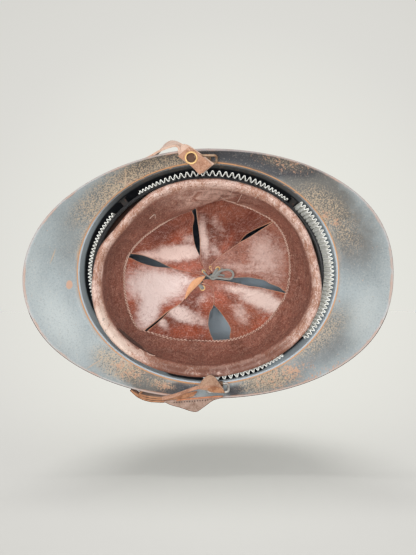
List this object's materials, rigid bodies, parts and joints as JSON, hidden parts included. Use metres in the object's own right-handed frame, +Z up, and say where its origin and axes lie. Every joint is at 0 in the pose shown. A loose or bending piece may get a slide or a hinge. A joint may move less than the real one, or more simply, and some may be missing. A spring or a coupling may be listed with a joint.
{
  "type": "adrian helmet",
  "caption": "Crested steel combat helmet with a two-part brim, fluted aluminium spacers, a laced leather liner, a chin strap on wire loops and a sliding buckle.",
  "frame": {"origin": "middle of the helmet's outline at the height of the hem that it rests on", "axes": "+Z up through the crown, +X to the wearer's left, +Y to the rear, so the visor points along -Y"},
  "size_m": [0.2205, 0.3, 0.1661],
  "materials": {
    "shell_paint": "worn satin horizon-blue paint with rust specks",
    "strip_aluminium": "dull grey sheet",
    "fitting_steel": "tarnished wire and sheet",
    "liner_felt": "dark wool cloth",
    "liner_leather": "polished reddish brown hide with wear",
    "eyelet_brass": "tarnished",
    "lace_cotton": "grey-green flat lace",
    "strap_leather": "dry brown hide with a suede back"
  },
  "bodies": {
    "helmet": {"dome": "shell_paint", "visor": "shell_paint", "neck_guard": "shell_paint", "crest": "shell_paint", "crest_rivets": "shell_paint", "corrugated_strip_front": "strip_aluminium", "corrugated_strip_rear": "strip_aluminium", "corrugated_strip_left": "strip_aluminium", "corrugated_strip_right": "strip_aluminium", "liner_tabs": "fitting_steel", "felt_band": "liner_felt", "sweatband": "liner_leather", "tongue_1": "liner_leather", "tongue_2": "liner_leather", "tongue_3": "liner_leather", "tongue_4": "liner_leather", "tongue_5": "liner_leather", "tongue_6": "liner_leather", "tongue_eyelets": "eyelet_brass", "drawstring": "lace_cotton", "left_bail_clip": "fitting_steel", "right_bail_clip": "fitting_steel", "bail_rivets": "shell_paint", "chin_strap": "strap_leather"},
    "left_loop": {"left_bail": "fitting_steel", "strap_tab_left": "strap_leather", "strap_eyelet": "eyelet_brass"},
    "right_loop": {"right_bail": "fitting_steel", "strap_tab_right": "strap_leather"},
    "buckle": {"strap_buckle": "fitting_steel"}
  },
  "joints": [
    {"name": "left_loop_swing", "type": "hinge", "parent": "helmet", "child": "left_loop", "pos_m": [0.091, -0.002, 0.0174], "axis": [0, 1, 0], "range_deg": [0, 30]},
    {"name": "right_loop_swing", "type": "hinge", "parent": "helmet", "child": "right_loop", "pos_m": [-0.091, 0.008, 0.0174], "axis": [0, -1, 0], "range_deg": [0, 30]},
    {"name": "buckle_slide", "type": "hinge", "parent": "helmet", "child": "buckle", "pos_m": [0, -0.03237, 0.0325], "axis": [0, 0, 1], "range_deg": [-22, 22]}
  ]
}
